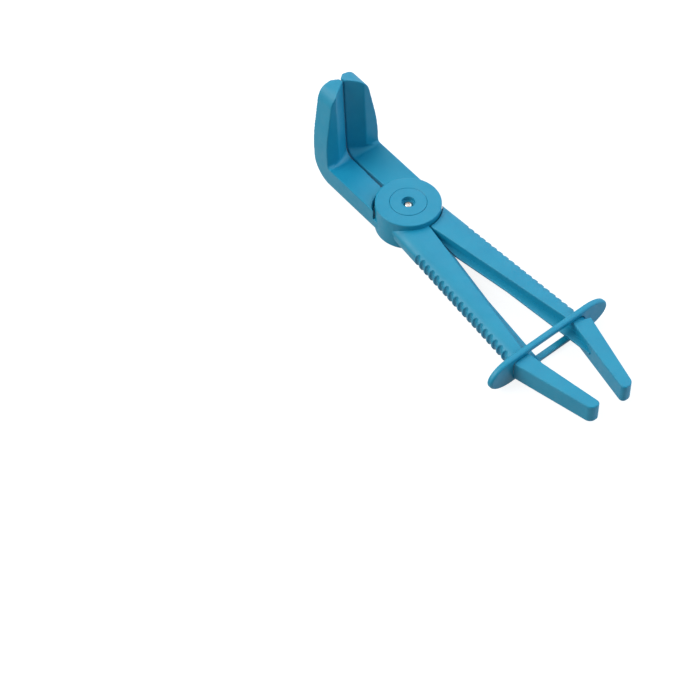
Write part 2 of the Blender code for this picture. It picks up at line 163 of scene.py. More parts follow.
# Places that follow from the sizes above
MID_Z = HUB_HEIGHT / 2
ARM_THICKNESS = HUB_HEIGHT - 2 * ARM_INSET
ARM_TOP_Z = HUB_HEIGHT - ARM_INSET
JAW_OUTER_X = HUB_RADIUS - JAW_INSET
JAW_FOOT_Y = HUB_RADIUS + JAW_REACH
JAW_NOSE_X = JAW_GAP / 2
JAW_RIDGE_X = JAW_NOSE_X + JAW_BEVEL_WIDTH
JAW_NOSE_TOP_Z = ARM_TOP_Z + JAW_HEIGHT
JAW_ARM_RIDGE_X = JAW_OUTER_X - JAW_ARM_EDGE
JAW_TAPER_START_Z = ARM_TOP_Z + JAW_BEND_RADIUS + JAW_STRAIGHT
HANDLE_ROOT_X = HUB_RADIUS - HANDLE_INSET
HANDLE_END_X = HANDLE_ROOT_X + HANDLE_SPLAY
WALL_ROOT_X = HANDLE_WALL_GAP / 2
WALL_ROOT_Y = HUB_RADIUS + HANDLE_WALL_ROOT
KNEE_X = HANDLE_END_X - KNEE_WIDTH
KNEE_Y = HANDLE_LENGTH - KNEE_SETBACK
TAIL_CORNER_X = HANDLE_END_X + TAIL_CORNER_FLARE
TAIL_CORNER_Y = HANDLE_LENGTH + TAIL_CORNER_STEP
TAIL_BACK_X = TAIL_CORNER_X - TAIL_ROOT_WIDTH
TAIL_TIP_Y = HANDLE_LENGTH + TAIL_LENGTH
TAIL_TIP_INNER_X = TAIL_BACK_X - TAIL_CONVERGE
TAIL_TIP_OUTER_X = TAIL_TIP_INNER_X + TAIL_TIP_WIDTH
NOTCH_FIRST_Y = HUB_RADIUS + NOTCH_START
NOTCH_COUNT = int((KNEE_Y - NOTCH_FIRST_Y) / NOTCH_PITCH + 0.5)
WEB_START_Y = HUB_RADIUS + WEB_START
WEB_MID_Y = HANDLE_LENGTH - WEB_MID_SETBACK
WEB_END_Y = HANDLE_LENGTH + WEB_END
FLANGE_RADIUS = SLEEVE_RADIUS + FLANGE_WIDTH
HEAD_WELL_RADIUS = SCREW_HEAD_RADIUS + PIVOT_CLEARANCE
ACCESS_RADIUS = HEAD_WELL_RADIUS + ACCESS_MARGIN
SCREW_HOLE_RADIUS = SCREW_RADIUS + PIVOT_CLEARANCE
SCREW_TOP_Z = HUB_HEIGHT - SCREW_HEAD_DEPTH
SCREW_SHOULDER_Z = SCREW_TOP_Z - SCREW_HEAD_HEIGHT
SCREW_TIP_Z = BOSS_FLOOR + PIVOT_CLEARANCE
NUT_TOP_Z = MID_Z - LEVER_GAP / 2 - PIVOT_CLEARANCE
NUT_BOTTOM_Z = NUT_TOP_Z - NUT_HEIGHT
RING_Y = HANDLE_LENGTH - RING_SETBACK

# Camera, worked out from the hub's ellipse and the handles' perspective
IMAGE_SIDE = 700.0
FOCAL_PIXELS = 2370.0
SENSOR_WIDTH = 36.0
CAMERA_PITCH_DEG = 50.0
CAMERA_AZIMUTH_DEG = -37.47
HUB_PIXEL = (408.4, 201.6)
HUB_PIXELS_PER_MM = 1.867

# Colours, linear
NYLON_BLUE = (0.001, 0.272, 0.430)
NYLON_LIGHT = (0.006, 0.300, 0.455)
STEEL = (0.66, 0.58, 0.53)
STEEL_DARK = (0.48, 0.42, 0.39)

# Nylon: noise scales are per metre, shares weigh the heights that make up the bump
MOTTLE_SCALE = 90.0
MOTTLE_DETAIL = 3.0
MOTTLE_RANGE = (0.3, 0.7)
SATIN_SCALE = 260.0
SATIN_DETAIL = 4.0
SATIN_RANGE = (0.25, 0.75)
NYLON_ROUGHNESS = (0.42, 0.54)
NYLON_SPECULAR = 0.5
GRAIN_SCALE = 1300.0
GRAIN_DETAIL = 2.0
GRAIN_SHARE = 0.35
STREAK_STRETCH = (900.0, 900.0, 40.0)
STREAK_DETAIL = 2.0
STREAK_SHARE = 0.5
RING_MARK_SCALE = 700.0
RING_MARK_DETAIL = 1.0
RING_MARK_SHARE = 5.0
NYLON_BUMP = 0.006

# Plated steel
TARNISH_SCALE = 900.0
TARNISH_DETAIL = 4.0
TARNISH_RANGE = (0.35, 0.7)
TARNISH_MOST = 0.6
SCRATCH_STRETCH = (6000.0, 900.0, 900.0)
SCRATCH_DETAIL = 3.0
SCRATCH_RANGE = (0.3, 0.7)
STEEL_ROUGHNESS = (0.2, 0.36)
STEEL_BUMP = 0.004

# Numbers of the Mix node's colour sockets
MIX_FIRST = 6
MIX_SECOND = 7
MIX_RESULT = 2

# Light
KEY_STRENGTH = 1.95
KEY_FROM = (-0.70, 0.40, 0.70)
KEY_ANGLE_DEG = 45.0
FILL_STRENGTH = 1.45
FILL_TINT = (0.55, 0.95, 1.2)
FILL_FROM = (0.75, -0.40, 0.55)
FILL_ANGLE_DEG = 60.0
BACK_STRENGTH = 0.7
BACK_FROM = (0.39, 0.51, 0.77)
BACK_ANGLE_DEG = 60.0
AMBIENT = 0.21
AMBIENT_TINT = (0.80, 0.95, 1.10)
FLOOR_ALBEDO = 0.30
FLOOR_LIFT = 0.88
FLOOR_GLOSS_LIFT = 0.75
FLOOR_HALF = 4000.0
FLOOR_DROP = 0.05


# Mesh tools
def mesh_object(name, bm):
    """Turn a bmesh in millimetres into an object in metres with its faces pointing out."""
    bmesh.ops.recalc_face_normals(bm, faces=bm.faces)
    bmesh.ops.scale(bm, vec=(MM, MM, MM), verts=bm.verts)
    mesh = bpy.data.meshes.new(name)
    bm.to_mesh(mesh)
    bm.free()
    obj = bpy.data.objects.new(name, mesh)
    bpy.context.scene.collection.objects.link(obj)
    return obj


def loft(name, sections):
    """Closed skin through sections that all have the same number of points."""
    bm = bmesh.new()
    loops = [[bm.verts.new(point) for point in section] for section in sections]
    count = len(sections[0])
    for near, far in zip(loops, loops[1:]):
        for i in range(count):
            j = (i + 1) % count
            bm.faces.new((near[i], near[j], far[j], far[i]))
    bm.faces.new(loops[0])
    bm.faces.new(loops[-1])
    return mesh_object(name, bm)


def turned(name, profile, steps):
    """Solid of revolution about the pivot axis from a profile of (radius, z) points.

    A profile that starts and ends on the axis is left open there; any other is closed.
    """
    bm = bmesh.new()
    points = [bm.verts.new((radius, 0.0, z)) for radius, z in profile]
    edges = [bm.edges.new(pair) for pair in zip(points, points[1:])]
    if profile[0][0] > 0.0:
        edges.append(bm.edges.new((points[-1], points[0])))
    bmesh.ops.spin(bm, geom=points + edges, cent=(0, 0, 0), axis=(0, 0, 1), angle=2 * math.pi,
                   steps=steps, use_merge=True)
    bmesh.ops.remove_doubles(bm, verts=bm.verts, dist=MERGE_DISTANCE)
    return mesh_object(name, bm)


def bake(obj):
    """Keep an object's mesh as its modifiers leave it."""
    bpy.context.view_layer.update()
    evaluated = obj.evaluated_get(bpy.context.evaluated_depsgraph_get())
    mesh = bpy.data.meshes.new_from_object(evaluated)
    obj.modifiers.clear()
    obj.data = mesh


def combine(base, other, operation):
    """Join or cut base with other, keep the result on base and remove other."""
    modifier = base.modifiers.new(operation.lower(), "BOOLEAN")
    modifier.operation = operation
    modifier.object = other
    bake(base)
    bpy.data.objects.remove(other, do_unlink=True)


def soften(obj, grid, rounds):
    """Round every edge of a closed mesh: rebuild it on a fine grid, then relax it."""
    remesh = obj.modifiers.new("grid", "REMESH")
    remesh.mode = "VOXEL"
    remesh.voxel_size = grid * MM
    relax = obj.modifiers.new("relax", "SMOOTH")
    relax.factor = RELAX_FACTOR
    relax.iterations = rounds
    bake(obj)


def round_corners(profile, radius):
    """Profile of points with each inner corner replaced by a small arc; the two ends stay."""
    rounded = [profile[0]]
    for before, corner, after in zip(profile, profile[1:], profile[2:]):
        here = Vector(corner)
        back, ahead = Vector(before) - here, Vector(after) - here
        reach = min(radius, back.length / 2, ahead.length / 2)
        start, end = here + back.normalized() * reach, here + ahead.normalized() * reach
        for step in range(EDGE_STEPS + 1):
            t = step / EDGE_STEPS
            rounded.append(tuple(start.lerp(here, t).lerp(here.lerp(end, t), t)))
    return rounded + [profile[-1]]


def dress(obj, name, material, body, *nodes):
    """Name a finished piece, shade it, give it its material and put it in place of its nodes."""
    obj.name = obj.data.name = name
    obj.data.materials.clear()
    obj.data.materials.append(material)
    obj.data.shade_smooth()
    obj.data.set_sharp_from_angle(angle=math.radians(SMOOTH_ANGLE_DEG))
    weigh = obj.modifiers.new("weigh", "WEIGHTED_NORMAL")
    weigh.keep_sharp = True
    bake(obj)
    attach(obj, body)
    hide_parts(*nodes)
    return obj


# Jaw
def jaw_section(nose_x, ridge_x, depth, near, far):
    """Points (x, radial) of a jaw, sloped by a depth from its near face down to the clamping face."""
    return [(JAW_OUTER_X, near), (ridge_x, near), (nose_x, near + depth),
            (nose_x, far - JAW_BACK_CORNER), (nose_x + JAW_BACK_CORNER, far), (JAW_OUTER_X, far)]


def jaw_shoulder():
    """Points (x, z) of the arc that rounds the tapered outer side over into the sloping top."""
    side_angle, slope = math.radians(JAW_TAPER_DEG), math.radians(JAW_TOP_SLOPE_DEG)
    sweep = math.pi / 2 - slope - side_angle
    climb = math.tan(slope) * math.tan(side_angle)
    level_z = JAW_NOSE_TOP_Z - (JAW_OUTER_X - JAW_NOSE_X) * math.tan(slope)
    corner_z = (level_z - JAW_TAPER_START_Z * climb) / (1 - climb)
    corner_x = JAW_OUTER_X - (corner_z - JAW_TAPER_START_Z) * math.tan(side_angle)
    reach = JAW_SHOULDER_RADIUS * math.tan(sweep / 2)
    centre_x = corner_x + reach * math.sin(side_angle) - JAW_SHOULDER_RADIUS * math.cos(side_angle)
    centre_z = corner_z - reach * math.cos(side_angle) - JAW_SHOULDER_RADIUS * math.sin(side_angle)
    points = []
    for step in range(ARC_STEPS + 1):
        angle = side_angle + sweep * step / ARC_STEPS
        points.append((centre_x + JAW_SHOULDER_RADIUS * math.cos(angle),
                       centre_z + JAW_SHOULDER_RADIUS * math.sin(angle)))
    return points


def jaw_envelope(side):
    """Solid that the jaw is trimmed to: tapered outer side, and a top that falls towards the back."""
    spare = JAW_BEND_RADIUS
    blend_z = JAW_TAPER_START_Z - JAW_TAPER_BLEND
    foot = [(JAW_OUTER_X + spare, -spare), (JAW_OUTER_X + spare, blend_z - spare)]
    for step in range(ARC_STEPS + 1):
        rise = 2 * JAW_TAPER_BLEND * step / ARC_STEPS
        lean_in = math.tan(math.radians(JAW_TAPER_DEG)) * rise ** 2 / (4 * JAW_TAPER_BLEND)
        foot.append((JAW_OUTER_X - lean_in, blend_z + rise))
    nose_z = JAW_NOSE_TOP_Z + (JAW_NOSE_X + spare) * math.tan(math.radians(JAW_TOP_SLOPE_DEG))
    nose_y = JAW_FOOT_Y + JAW_BEVEL_DEPTH + JAW_HEIGHT * math.tan(math.radians(JAW_LEAN_DEG))
    sections = []

    def add(y, behind):
        fall = behind * math.tan(math.radians(JAW_TOP_FALL_DEG))
        crest = jaw_shoulder() + [(-spare, nose_z)]
        top = [(x, z - fall * max(0.0, 1 - x / JAW_RIDGE_X)) for x, z in crest]
        outline = [(-spare, -spare)] + foot + top
        sections.append([(side * x, y, z) for x, z in outline])

    add(-spare, -JAW_BEVEL_DEPTH)
    for step in range(BEND_STEPS + 1):
        behind = JAW_THICKNESS * step / BEND_STEPS - JAW_BEVEL_DEPTH
        add(nose_y + behind, behind)
    return loft("envelope", sections)


def make_jaw(side):
    """Base arm from the pivot, bend, and upright jaw, on the +X side for side = 1."""
    centre_y = JAW_FOOT_Y - JAW_BEND_RADIUS
    centre_z = ARM_TOP_Z + JAW_BEND_RADIUS
    near = JAW_BEND_RADIUS
    full_turn = math.pi / 2 - math.radians(JAW_LEAN_DEG)
    sections = []

    def add(nose_x, share, thickness, along, rise):
        """Place a section turned by a share of the bend, moved along Y and raised along the upright."""
        ridge_x = JAW_ARM_RIDGE_X + (JAW_RIDGE_X - JAW_ARM_RIDGE_X) * share
        depth = JAW_ARM_FALL + (JAW_BEVEL_DEPTH - JAW_ARM_FALL) * share
        angle = full_turn * share
        placed = []
        for x, radial in jaw_section(nose_x, ridge_x, depth, near, near + thickness):
            y = centre_y + along + radial * math.sin(angle) + rise * math.cos(angle)
            z = centre_z - radial * math.cos(angle) + rise * math.sin(angle)
            placed.append((side * x, y, z))
        sections.append(placed)

    add(JAW_ROOT_GAP / 2, 0.0, ARM_THICKNESS, -centre_y, 0.0)
    for step in range(BEND_STEPS + 1):
        share = step / BEND_STEPS
        thickness = ARM_THICKNESS + (JAW_THICKNESS - ARM_THICKNESS) * share
        add(JAW_NOSE_X, share, thickness, 0.0, 0.0)
    add(JAW_NOSE_X, 1.0, JAW_THICKNESS, 0.0, JAW_HEIGHT + JAW_THICKNESS)
    jaw = loft("jaw", sections)
    combine(jaw, jaw_envelope(side), "INTERSECT")
    return jaw


# Handle
def handle_outer(distance):
    """Half width of the grip's outermost line at a distance behind the pivot."""
    return HANDLE_ROOT_X + HANDLE_SPLAY * distance / HANDLE_LENGTH


def handle_wall(distance):
    """X of the upright inner wall at a distance behind the pivot."""
    run = max(0.0, distance - WALL_ROOT_Y) / (KNEE_Y - WALL_ROOT_Y)
    return WALL_ROOT_X + (KNEE_X - WALL_ROOT_X) * run


def tail_share(distance):
    """Share of the way from the tail's corner to its tip."""
    return (distance - TAIL_CORNER_Y) / (TAIL_TIP_Y - TAIL_CORNER_Y)


def tail_outer(distance):
    """X of the tail's outer side at a distance behind the pivot."""
    return TAIL_CORNER_X + (TAIL_TIP_OUTER_X - TAIL_CORNER_X) * tail_share(distance)


def tail_inner(distance):
    """X of the tail's inner side at a distance behind the pivot."""
    return TAIL_BACK_X + (TAIL_TIP_INNER_X - TAIL_BACK_X) * tail_share(distance)


def quarter(round_in, round_down, cut=0.0):
    """Pairs (inset, drop) from the top face round to the side of a bar, along a quarter ellipse.

    A groove of depth cut follows the ellipse and runs out at the top.
    """
    pairs = []
    for step in range(ARC_STEPS + 1):
        angle = math.pi / 2 * (1 - step / ARC_STEPS)
        across, up = math.cos(angle), math.sin(angle)
        sink = cut * across / math.hypot(across / round_in, up / round_down)
        pairs.append((round_in * (1 - across) + sink * across / round_in,
                      round_down * (1 - up) + sink * up / round_down))
    return pairs


def tip_quarter(left):
    """Pairs (inset, drop) as for quarter, at a distance left to the end of the rounded tail tip."""
    top_turn = math.acos(max(0.0, 1 - left / TAIL_EDGE))
    pairs = []
    for step in range(ARC_STEPS + 1):
        turn = top_turn * (1 - step / ARC_STEPS)
        edge = TAIL_EDGE * (1 - math.cos(turn))
        chord = (TAIL_TIP_RADIUS - edge) ** 2 - (TAIL_TIP_RADIUS - left) ** 2
        inset = TAIL_TIP_RADIUS - math.sqrt(max(0.0, chord))
        pairs.append((inset, TAIL_EDGE * (1 - math.sin(turn))))
    return pairs


def bar_section(distance, inner_x, outer_x, inner_pairs, upper_pairs, lower_pairs):
    """Cross-section of a handle from the (inset, drop) pairs of its edges."""
    top = ARM_THICKNESS / 2
    outline = [(inner_x + inset, top - drop) for inset, drop in reversed(inner_pairs)]
    outline += [(outer_x - inset, top - drop) for inset, drop in upper_pairs]
    outline += [(outer_x - inset, drop - top) for inset, drop in reversed(lower_pairs)]
    outline += [(inner_x + inset, drop - top) for inset, drop in inner_pairs]
    return [(x, -distance, MID_Z + z) for x, z in outline]


def make_handle(side):
    """Grip with notches, and tail, on the +X side for side = 1."""
    grip_edge = quarter(HANDLE_EDGE, HANDLE_EDGE)
    crown = quarter(HANDLE_CROWN_X, HANDLE_CROWN_Z)
    lower_z = (ARM_THICKNESS - HANDLE_FLAT) / 2
    lower_round = quarter(HANDLE_ROUND_X, lower_z)
    tail_edge = quarter(TAIL_EDGE, TAIL_EDGE)
    notches_start = NOTCH_FIRST_Y - NOTCH_PITCH / 2
    sections = []

    def grip(distance, share):
        """Add a section with a share of a notch: a steep scoop out of the crown, a groove below it."""
        scooped = []
        for inset, drop in crown:
            depth = NOTCH_TOP_DEPTH + (NOTCH_DEPTH - NOTCH_TOP_DEPTH) * drop / HANDLE_CROWN_Z
            scooped.append((max(inset, share * depth), drop))
        grooved = quarter(HANDLE_ROUND_X, lower_z, NOTCH_DEPTH * share)
        sections.append(bar_section(distance, handle_wall(distance), handle_outer(distance),
                                    grip_edge, scooped, grooved))

    def tail(distance, pairs):
        """Add a section of the tail with the same edges all round."""
        inner_x, outer_x = tail_inner(distance), tail_outer(distance)
        sections.append(bar_section(distance, inner_x, outer_x, pairs, pairs, pairs))

    grip(0.0, 0.0)
    grip(WALL_ROOT_Y, 0.0)
    for step in range(NOTCH_COUNT * NOTCH_STEPS + 1):
        turn = step / NOTCH_STEPS
        aside = 2 * NOTCH_PITCH * abs(turn % 1 - 0.5) / NOTCH_WIDTH
        grip(notches_start + turn * NOTCH_PITCH, math.sqrt(max(0.0, 1 - aside ** 2)))
    grip(KNEE_Y, 0.0)
    sections.append(bar_section(HANDLE_LENGTH, KNEE_X, HANDLE_END_X, grip_edge, crown, lower_round))
    tail(TAIL_CORNER_Y, tail_edge)
    for step in range(2 * ARC_STEPS + 1):
        left = TAIL_TIP_RADIUS * (1 - math.sin(math.pi / 2 * step / (2 * ARC_STEPS)))
        tail(TAIL_TIP_Y - left, tip_quarter(left))
    return loft("handle", [[(side * x, y, z) for x, y, z in section] for section in sections])


def make_web(side):
    """Thin web that fills the hollow between the handle's wall and its tail, at half height."""
    bury = 2 * WEB_THICKNESS
    outline = [(WALL_ROOT_X, WALL_ROOT_Y), (WALL_ROOT_X, WEB_START_Y),
               (handle_wall(WEB_MID_Y) - WEB_MID_DEPTH, WEB_MID_Y),
               (tail_inner(WEB_END_Y) - WEB_END_DEPTH, WEB_END_Y),
               (tail_inner(WEB_END_Y) + bury, WEB_END_Y), (KNEE_X + bury, KNEE_Y),
               (WALL_ROOT_X + bury, WALL_ROOT_Y)]
    half = WEB_THICKNESS / 2
    sections = []
    for step in range(2 * EDGE_STEPS + 2):
        turn = math.pi / 2 * (step if step <= EDGE_STEPS else step - 1) / EDGE_STEPS - math.pi / 2
        shift = math.copysign(half - WEB_EDGE, step - EDGE_STEPS - 0.5)
        inset = WEB_EDGE * (1 - math.cos(turn))
        z = MID_Z + shift + WEB_EDGE * math.sin(turn)
        sections.append([(side * (x + inset), -distance, z) for x, distance in outline])
    return loft("web", sections)


# Levers
def make_lever(jaw_side_sign, is_upper):
    """One lever: jaw on one side, half of the hub, and the handle on the other side."""
    half_gap = SEAM / 2
    low, high = (MID_Z + half_gap, HUB_HEIGHT) if is_upper else (0.0, MID_Z - half_gap)
    relief_low = -HUB_HEIGHT if is_upper else MID_Z - ARM_RELIEF_AXIAL
    relief_high = MID_Z + ARM_RELIEF_AXIAL if is_upper else 2 * HUB_HEIGHT

    def relief(width):
        """Room round the other lever's half of the hub."""
        radius = HUB_RADIUS + width
        profile = [(0.0, relief_high), (radius, relief_high), (radius, relief_low), (0.0, relief_low)]
        return turned("relief", profile, HUB_STEPS)

    lever = make_jaw(jaw_side_sign)
    combine(lever, relief(ARM_RELIEF), "DIFFERENCE")
    soften(lever, JAW_GRID, JAW_RELAX)
    handle = make_handle(-jaw_side_sign)
    combine(handle, make_web(-jaw_side_sign), "UNION")
    combine(handle, relief(HANDLE_RELIEF), "DIFFERENCE")
    combine(lever, handle, "UNION")

    if is_upper:
        disc = [(0.0, low), (HUB_RADIUS, low), (HUB_RADIUS, high), (0.0, high)]
    else:
        disc = [(0.0, high), (HUB_RADIUS, high), (HUB_RADIUS, low), (0.0, low)]
    rounded = disc[:2] + round_corners(disc[1:], HUB_RIM_ROUND)[1:]
    combine(lever, turned("disc", rounded, HUB_STEPS), "UNION")

    bore = SLEEVE_RADIUS + PIVOT_CLEARANCE
    sink = FLANGE_RADIUS + PIVOT_SEAM
    seat = FLANGE_THICKNESS + PIVOT_CLEARANCE
    face = HUB_HEIGHT if is_upper else 0.0
    outward = 1 if is_upper else -1
    floor = face - outward * seat
    outside = face + outward * HUB_HEIGHT
    inside = face - 2 * outward * HUB_HEIGHT
    cutter = [(0.0, outside), (sink + PIVOT_EDGE, outside), (sink + PIVOT_EDGE, face),
              (sink, face - outward * PIVOT_EDGE), (sink, floor), (bore, floor),
              (bore, inside), (0.0, inside)]
    combine(lever, turned("bore", cutter, HUB_STEPS), "DIFFERENCE")
    return lever


# Pivot
def make_pivot_cap():
    """Flanged sleeve seated in the upper lever, with the stepped well that the screw sits in."""
    under_flange = HUB_HEIGHT - FLANGE_THICKNESS
    end = MID_Z + LEVER_GAP / 2
    access_floor = HUB_HEIGHT - ACCESS_DEPTH
    head_floor = SCREW_SHOULDER_Z - PIVOT_CLEARANCE
    profile = [(SCREW_HOLE_RADIUS, head_floor), (HEAD_WELL_RADIUS, head_floor),
               (HEAD_WELL_RADIUS, access_floor), (ACCESS_RADIUS, access_floor), (ACCESS_RADIUS, HUB_HEIGHT),
               (FLANGE_RADIUS, HUB_HEIGHT), (FLANGE_RADIUS, under_flange), (SLEEVE_RADIUS, under_flange),
               (SLEEVE_RADIUS, end), (SCREW_HOLE_RADIUS, end)]
    return turned("cap", round_corners(profile, PIVOT_EDGE), HUB_STEPS)


def hexagon_prism(name, across_flats, low, high):
    radius = across_flats / 2 / math.cos(math.pi / 6)
    corners = [math.pi / 3 * i for i in range(6)]
    outline = [(radius * math.cos(angle), radius * math.sin(angle)) for angle in corners]
    return loft(name, [[(x, y, z) for x, y in outline] for z in (low, high)])


def make_pivot_boss():
    """Flanged sleeve seated in the lower lever, blind below, with a pocket for the nut."""
    end = MID_Z - LEVER_GAP / 2
    profile = [(0.0, end), (SLEEVE_RADIUS, end), (SLEEVE_RADIUS, FLANGE_THICKNESS),
               (FLANGE_RADIUS, FLANGE_THICKNESS), (FLANGE_RADIUS, 0.0), (0.0, 0.0)]
    boss = turned("boss", round_corners(profile, PIVOT_EDGE), HUB_STEPS)
    pocket = hexagon_prism("pocket", NUT_ACROSS_FLATS + 2 * PIVOT_CLEARANCE,
                           NUT_BOTTOM_Z - PIVOT_CLEARANCE, HUB_HEIGHT)
    combine(boss, pocket, "DIFFERENCE")
    drill = [(0.0, HUB_HEIGHT), (SCREW_HOLE_RADIUS, HUB_HEIGHT),
             (SCREW_HOLE_RADIUS, BOSS_FLOOR), (0.0, BOSS_FLOOR)]
    combine(boss, turned("drill", drill, SMALL_STEPS), "DIFFERENCE")
    return boss


def make_pivot_screw():
    """Screw with a domed head and a socket for the driver."""
    dome_low = SCREW_SHOULDER_Z + SCREW_HEAD_HEIGHT / 2
    profile = [(0.0, SCREW_TOP_Z)]
    for step in range(1, ARC_STEPS + 1):
        angle = math.pi / 2 * (1 - step / ARC_STEPS)
        profile.append((SCREW_HEAD_RADIUS * math.cos(angle),
                        dome_low + (SCREW_TOP_Z - dome_low) * math.sin(angle)))
    profile += [(SCREW_HEAD_RADIUS, SCREW_SHOULDER_Z), (SCREW_RADIUS, SCREW_SHOULDER_Z),
                (SCREW_RADIUS, SCREW_TIP_Z), (0.0, SCREW_TIP_Z)]
    screw = turned("screw", profile, SMALL_STEPS)
    socket = hexagon_prism("socket", SOCKET_ACROSS_FLATS, SCREW_TOP_Z - SOCKET_DEPTH, HUB_HEIGHT)
    combine(screw, socket, "DIFFERENCE")
    return screw


# Ring
def ring_outline(inset):
    """Points (x, z) of the ring's rim, drawn in by an inset."""
    taper, half_z = RING_EAR_TAPER - inset, HUB_HEIGHT / 2 - inset
    straight = handle_outer(RING_Y) + RING_SLACK + RING_EAR - RING_EAR_TAPER
    right = []
    for step in range(2 * EAR_STEPS + 1):
        angle = math.pi / 2 * (1 - step / EAR_STEPS)
        right.append((straight + taper * math.cos(angle), half_z * math.sin(angle)))
    return right + [(-x, -z) for x, z in right]


def ring_slot(inset):
    """Points (x, z) of the slot's rim, widened by an inset."""
    half_z = ARM_THICKNESS / 2 + RING_CLEARANCE
    points = []
    for turn, (sign_x, sign_z) in enumerate(((1, 1), (-1, 1), (-1, -1), (1, -1))):
        corner = RING_SLOT_RIGHT_CORNER if sign_x > 0 else RING_SLOT_LEFT_CORNER
        half_x = handle_outer(RING_Y) + (RING_RIGHT_SLACK if sign_x > 0 else RING_SLACK)
        rim = corner + RING_SLOT_EASE * inset
        for step in range(ARC_STEPS + 1):
            angle = math.pi / 2 * (turn + step / ARC_STEPS)
            points.append((sign_x * (half_x - corner) + rim * math.cos(angle),
                           sign_z * (half_z - corner) + rim * math.sin(angle)))
    return points


def make_locking_ring():
    """Loop of rounded section across both handles, with a leaf-shaped ear at each end, slightly askew."""
    flat = RING_THICKNESS / 2 - RING_EDGE
    levels = []
    for step in range(2 * ARC_STEPS + 2):
        turn = math.pi / 2 * (step if step <= ARC_STEPS else step - 1) / ARC_STEPS - math.pi / 2
        side = -1 if step <= ARC_STEPS else 1
        levels.append((side * flat + RING_EDGE * math.sin(turn), RING_EDGE * (1 - math.cos(turn))))
    ring = loft("ring", [[(x, depth, z) for x, z in ring_outline(inset)] for depth, inset in levels])
    ends = [(-RING_THICKNESS, RING_EDGE)] + levels + [(RING_THICKNESS, RING_EDGE)]
    hole = loft("hole", [[(x, depth, z) for x, z in ring_slot(inset)] for depth, inset in ends])
    combine(ring, hole, "DIFFERENCE")
    turn = Matrix.Rotation(math.radians(RING_SKEW_DEG), 4, "Z")
    ring.data.transform(Matrix.Translation((0.0, -RING_Y * MM, MID_Z * MM)) @ turn)
    return ring


# Materials
def new_material(name):
    material = bpy.data.materials.new(name)
    material.use_nodes = True
    return material, material.node_tree.nodes, material.node_tree.links


def noise(nodes, links, coordinates, detail, scale=1.0, stretch=None):
    """Noise over the piece's own coordinates; stretch scales the coordinates along each axis first."""
    if stretch:
        mapping = nodes.new("ShaderNodeMapping")
        mapping.inputs["Scale"].default_value = stretch
        links.new(coordinates, mapping.inputs["Vector"])
        coordinates = mapping.outputs["Vector"]
    texture = nodes.new("ShaderNodeTexNoise")
    texture.inputs["Scale"].default_value = scale
    texture.inputs["Detail"].default_value = detail
    links.new(coordinates, texture.inputs["Vector"])
    return texture.outputs["Fac"]


def map_range(nodes, links, value, source, target):
    """Value moved from the source range (low, high) to the target range."""
    node = nodes.new("ShaderNodeMapRange")
    for socket, number in zip(("From Min", "From Max", "To Min", "To Max"), source + target):
        node.inputs[socket].default_value = number
    links.new(value, node.inputs["Value"])
    return node.outputs["Result"]


def math_node(nodes, links, operation, a, b):
    """Result of a sum on two values; each is a float or another node's output."""
    node = nodes.new("ShaderNodeMath")
    node.operation = operation
    for socket, value in zip(node.inputs, (a, b)):
        if isinstance(value, float):
            socket.default_value = value
        else:
            links.new(value, socket)
    return node.outputs["Value"]


def mix_colour(nodes, links, factor, first, second):
    """Mix of two colours; each is a linear colour or another node's output."""
    node = nodes.new("ShaderNodeMix")
    node.data_type = "RGBA"
    links.new(factor, node.inputs["Factor"])
    for socket, colour in zip((node.inputs[MIX_FIRST], node.inputs[MIX_SECOND]), (first, second)):
        if isinstance(colour, tuple):
            socket.default_value = (*colour, 1.0)
        else:
            links.new(colour, socket)
    return node.outputs[MIX_RESULT]


def add_bump(nodes, links, shader, height, distance):
    """Let a height of noise roughen a shader's surface by a distance in millimetres."""
    bump = nodes.new("ShaderNodeBump")
    bump.inputs["Strength"].default_value = 1.0
    bump.inputs["Distance"].default_value = distance * MM
    links.new(height, bump.inputs["Height"])
    links.new(bump.outputs["Normal"], shader.inputs["Normal"])


def ring_marks(nodes, links, coordinates):
    """Height of the faint rings round the pivot on the hub's upper face, and zero elsewhere."""
    parts = nodes.new("ShaderNodeSeparateXYZ")
    links.new(coordinates, parts.inputs["Vector"])
    flat = nodes.new("ShaderNodeCombineXYZ")
    for axis in ("X", "Y"):
        links.new(parts.outputs[axis], flat.inputs[axis])
    length = nodes.new("ShaderNodeVectorMath")
    length.operation = "LENGTH"
    links.new(flat.outputs["Vector"], length.inputs[0])
    radius = length.outputs["Value"]
    rings = nodes.new("ShaderNodeTexNoise")
    rings.noise_dimensions = "1D"
    rings.inputs["Scale"].default_value = RING_MARK_SCALE
    rings.inputs["Detail"].default_value = RING_MARK_DETAIL
    links.new(radius, rings.inputs["W"])
    face_z = (HUB_HEIGHT - HUB_RIM_ROUND / 2) * MM
    on_face = math_node(nodes, links, "GREATER_THAN", parts.outputs["Z"], face_z)
    on_hub = math_node(nodes, links, "LESS_THAN", radius, (HUB_RADIUS - HUB_RIM_ROUND) * MM)
    shown = math_node(nodes, links, "MULTIPLY", on_face, on_hub)
    return math_node(nodes, links, "MULTIPLY", rings.outputs["Fac"], shown)


